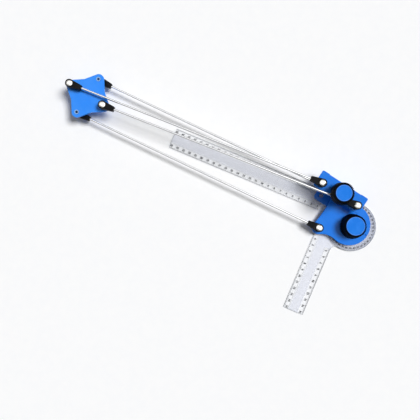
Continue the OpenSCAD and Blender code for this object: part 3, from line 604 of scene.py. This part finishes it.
def line_kind(count):
    """Which line a count gets: that of the tens, the fives or the ones."""
    if count % 10 == 0:
        return 10
    return 5 if count % 5 == 0 else 1


def put_line(bm, matrix, width, length):
    """Adds a printed line that runs along the matrix's Y from its origin."""
    bmesh.ops.create_cube(bm, size=1, matrix=matrix @ Matrix.Translation((0, length / 2, 0))
                          @ Matrix.Diagonal((width, length, ink_t, 1)))


def put_figure(bm, words, size, matrix):
    """Adds a printed numeral, centred in the place that the matrix gives, in millimetres."""
    letters = bpy.data.curves.new("figure", "FONT")
    letters.body = words
    letters.size = size
    letters.extrude = ink_t / 2
    letters.offset = size * figure_swell
    letters.resolution_u = 2
    letters.align_x = "CENTER"
    letters.align_y = "CENTER"
    holder = in_scene("figure", letters)
    bpy.context.view_layer.update()
    mesh = bpy.data.meshes.new_from_object(holder)
    bpy.data.objects.remove(holder)
    bpy.data.curves.remove(letters)
    mesh.transform(matrix)
    bm.from_mesh(mesh)
    bpy.data.meshes.remove(mesh)


def printed(bm, name):
    """Turns a bmesh of printed lines, in the square's own millimetres, into a piece on the square."""
    bm.transform(square_place)
    mesh = bpy.data.meshes.new(name)
    bm.to_mesh(mesh)
    bm.free()
    mesh.materials.append(ink)
    piece = in_scene(name, mesh)
    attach(piece, "square")


def scale_place(start, right):
    """Axes of a bevel: X to the right as its figures read, Y up the slope, Z out of it."""
    x = Vector((*right, 0))
    inward = Vector((-right[1], right[0], 0))
    y = inward * cos(slope) + Vector((0, 0, sin(slope)))
    turn = Matrix((x, y, x.cross(y))).transposed().to_4x4()
    return Matrix.Translation((*start, edge_height)) @ turn


# Each scale's name, its zero, the direction in which its figures read, whether it counts along or
# against that, its first line and its length.
scales = (
    ("long_inner_scale", (inner_x, inner_y), (1, 0), -1, corner_end, long_blade),
    ("long_outer_scale", (inner_x, inner_y + blade_w), (-1, 0), 1, 0, long_blade),
    ("short_inner_scale", (inner_x, inner_y), (0, -1), 1, corner_end, short_blade),
    ("short_outer_scale", (inner_x + blade_w, inner_y), (0, 1), -1, fillet_end, short_blade),
)
for name, start, right, run, first, length in scales:
    bm = bmesh.new()
    at = scale_place(start, right)
    for mm in range(first, length):
        spot = at @ Matrix.Translation((run * mm, line_inset, ink_t / 2))
        put_line(bm, spot, ink_w, line_len[line_kind(mm)])
        if line_kind(mm) == 10 and mm > first:
            spot = at @ Matrix.Translation((run * (mm + figure_past), figure_inset, ink_t / 2))
            put_figure(bm, str(mm // 10), figure_size, spot)
    printed(bm, name)

# The protractor: a disc of the same clear sheet, 1.6 mm thick, screwed to the square's hub. Near the
# rim its upper face is printed with a line each degree and a numeral each ten degrees.
dial_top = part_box("protractor")[1].z
line_ring_r, figure_ring_r = 36.2, 32.9
degree_len = {1: 1.0, 5: 1.6, 10: 2.0}
degree_w, degree_figure_size = 0.1, 3.6
dial_acrylic = clear_sheet("cast_acrylic_dial", dial_top)
softened("protractor", "square", dial_acrylic, width=0.12, angle=20)
print_height = dial_top * 1000 + ink_t / 2
inward = Matrix.Rotation(radians(90), 4, "Z")
bm = bmesh.new()
for degree in range(360):
    turn = Matrix.Rotation(radians(degree), 4, "Z")
    spot = turn @ Matrix.Translation((line_ring_r, 0, print_height)) @ inward
    put_line(bm, spot, degree_w, degree_len[line_kind(degree)])
    if line_kind(degree) == 10:
        folded = min(degree % 180, 180 - degree % 180)
        spot = turn @ Matrix.Translation((figure_ring_r, 0, print_height)) @ inward
        put_figure(bm, str(folded), degree_figure_size, spot)
printed(bm, "protractor_scale")

# The hub: a zinc-plated stud with a flange let into the square's underside, four small countersunk
# screws through flange, square and disc, and a nylon washer that the head knob turns on.
softened("hub_stud", "square", zinc_plate, width=0.2)
softened("hub_screws", "square", zinc_plate, width=0.1)
softened("thrust_washer", "thrust_washer", natural_nylon, width=0.15)

# The two knobs: black ABS mouldings with teeth all round, hollow and ribbed below, each moulded on
# a turned brass insert. Their grain is coarser than the rod ends', so they look duller and blacker.
# The last of the three colours is a painted highlight along the knobs' edges and teeth.
knob_abs = moulded_plastic("moulded_abs_knob", "#040405", "#0b0b0d", "#141418",
                           grain=0.5, smooth=0.38, rough=0.55, relief=0.4, sheen=0.05)
for node, body in (("clamp_knob", "clamp_screw"), ("head_knob", "head_knob")):
    softened(node, body, knob_abs, width=0.18)
    softened(node + "_insert", body, turned_brass, width=0.2)

# The caps: blue polystyrene discs, moulded smoother than the knobs and pressed into their tops. Each
# has a narrow raised rim, which catches the light, with a pale painted highlight along it.
cap_blue = moulded_plastic("moulded_polystyrene_blue", "#1278e2", "#1b7fe9", "#b4cffa",
                           grain=0.6, smooth=0.30, rough=0.42, relief=0.15, sheen=0.3)
for node, body in (("clamp_knob_cap", "clamp_screw"), ("head_knob_cap", "head_knob")):
    softened(node, body, cap_blue, width=0.12)
